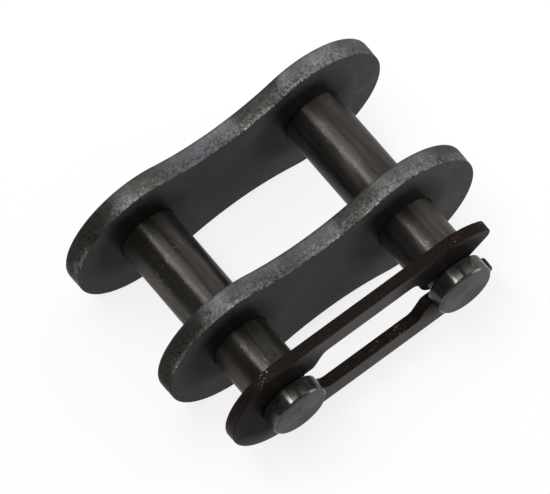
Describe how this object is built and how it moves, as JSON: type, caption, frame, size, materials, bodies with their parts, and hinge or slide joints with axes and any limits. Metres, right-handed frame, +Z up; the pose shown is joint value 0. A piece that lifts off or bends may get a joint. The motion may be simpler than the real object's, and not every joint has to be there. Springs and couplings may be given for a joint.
{
  "type": "chain connecting link",
  "caption": "Roller-chain connecting link: pins riveted in a waisted side plate, with a slip-fit cover plate and a spring clip.",
  "frame": {"origin": "on the ground under the middle of the link's box, with the side plates standing on edge", "axes": "+X along the chain towards the clip's open end, -Y along the pins towards their tips, +Z up across the plates' height"},
  "size_m": [0.0468, 0.0346, 0.0214],
  "materials": {
    "plate_steel": "dark, oiled, stamped",
    "pin_steel": "dark, turned and hardened",
    "clip_steel": "brown-black, tempered"
  },
  "bodies": {
    "pin_plate": {"riveted_plate": "plate_steel", "closed_end_pin": "pin_steel", "open_end_pin": "pin_steel"},
    "cover": {"cover_plate": "plate_steel"},
    "clip": {"spring_clip": "clip_steel"}
  },
  "joints": [
    {"name": "cover_plate_slide", "type": "slide", "parent": "pin_plate", "child": "cover", "axis": [0, -1, 0], "range_m": [-0.01575, 0.0079]},
    {"name": "clip_release", "type": "slide", "parent": "pin_plate", "child": "clip", "axis": [-1, 0, 0], "range_m": [0, 0.0127], "deforming": ["spring_clip"]}
  ]
}
